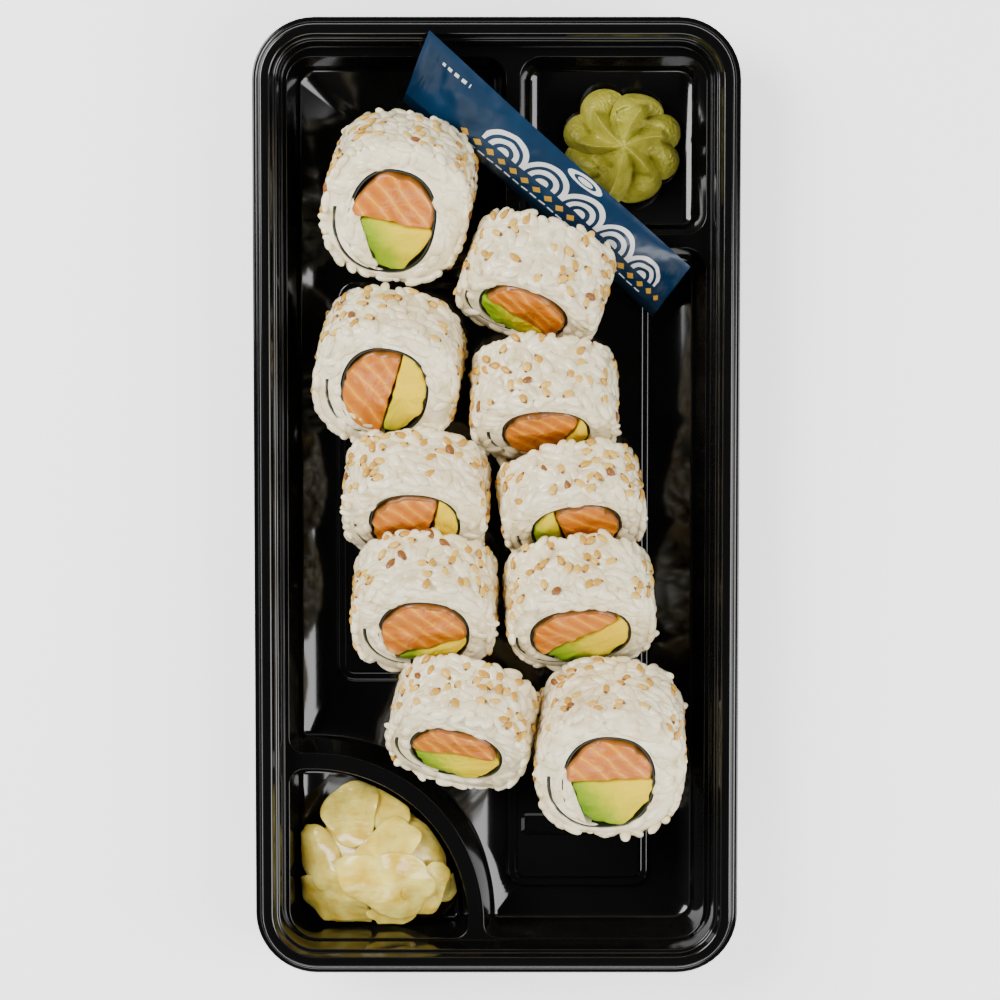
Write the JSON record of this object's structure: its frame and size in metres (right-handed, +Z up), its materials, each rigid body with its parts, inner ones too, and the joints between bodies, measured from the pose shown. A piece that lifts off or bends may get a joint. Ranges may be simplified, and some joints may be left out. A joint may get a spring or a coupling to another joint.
{
  "type": "takeaway sushi tray",
  "caption": "Black takeaway tray of sesame inside-out rolls with salmon and avocado, a wasabi rosette, pickled ginger and a sauce sachet.",
  "frame": {"origin": "centre of the whole in plan, on the plane the tray stands on", "axes": "+Y along the tray towards the wasabi, +X towards the wasabi's long side, +Z up"},
  "size_m": [0.115, 0.227, 0.0428],
  "materials": {
    "tray_plastic": "gloss",
    "rice": "satin",
    "nori": "matte",
    "salmon": "gloss",
    "avocado": "satin",
    "wasabi": "matte",
    "ginger": "gloss",
    "sachet_film": "gloss"
  },
  "bodies": {
    "root": {"tray": "tray_plastic", "rice_left_1": "rice", "nori_left_1": "nori", "salmon_left_1": "salmon", "avocado_left_1": "avocado", "rice_left_2": "rice", "nori_left_2": "nori", "salmon_left_2": "salmon", "avocado_left_2": "avocado", "rice_left_3": "rice", "nori_left_3": "nori", "salmon_left_3": "salmon", "avocado_left_3": "avocado", "rice_left_4": "rice", "nori_left_4": "nori", "salmon_left_4": "salmon", "avocado_left_4": "avocado", "rice_left_5": "rice", "nori_left_5": "nori", "salmon_left_5": "salmon", "avocado_left_5": "avocado", "rice_right_1": "rice", "nori_right_1": "nori", "salmon_right_1": "salmon", "avocado_right_1": "avocado", "rice_right_2": "rice", "nori_right_2": "nori", "salmon_right_2": "salmon", "avocado_right_2": "avocado", "rice_right_3": "rice", "nori_right_3": "nori", "salmon_right_3": "salmon", "avocado_right_3": "avocado", "rice_right_4": "rice", "nori_right_4": "nori", "salmon_right_4": "salmon", "avocado_right_4": "avocado", "rice_right_5": "rice", "nori_right_5": "nori", "salmon_right_5": "salmon", "avocado_right_5": "avocado", "wasabi": "wasabi", "ginger": "ginger", "sauce_sachet": "sachet_film"}
  },
  "joints": []
}
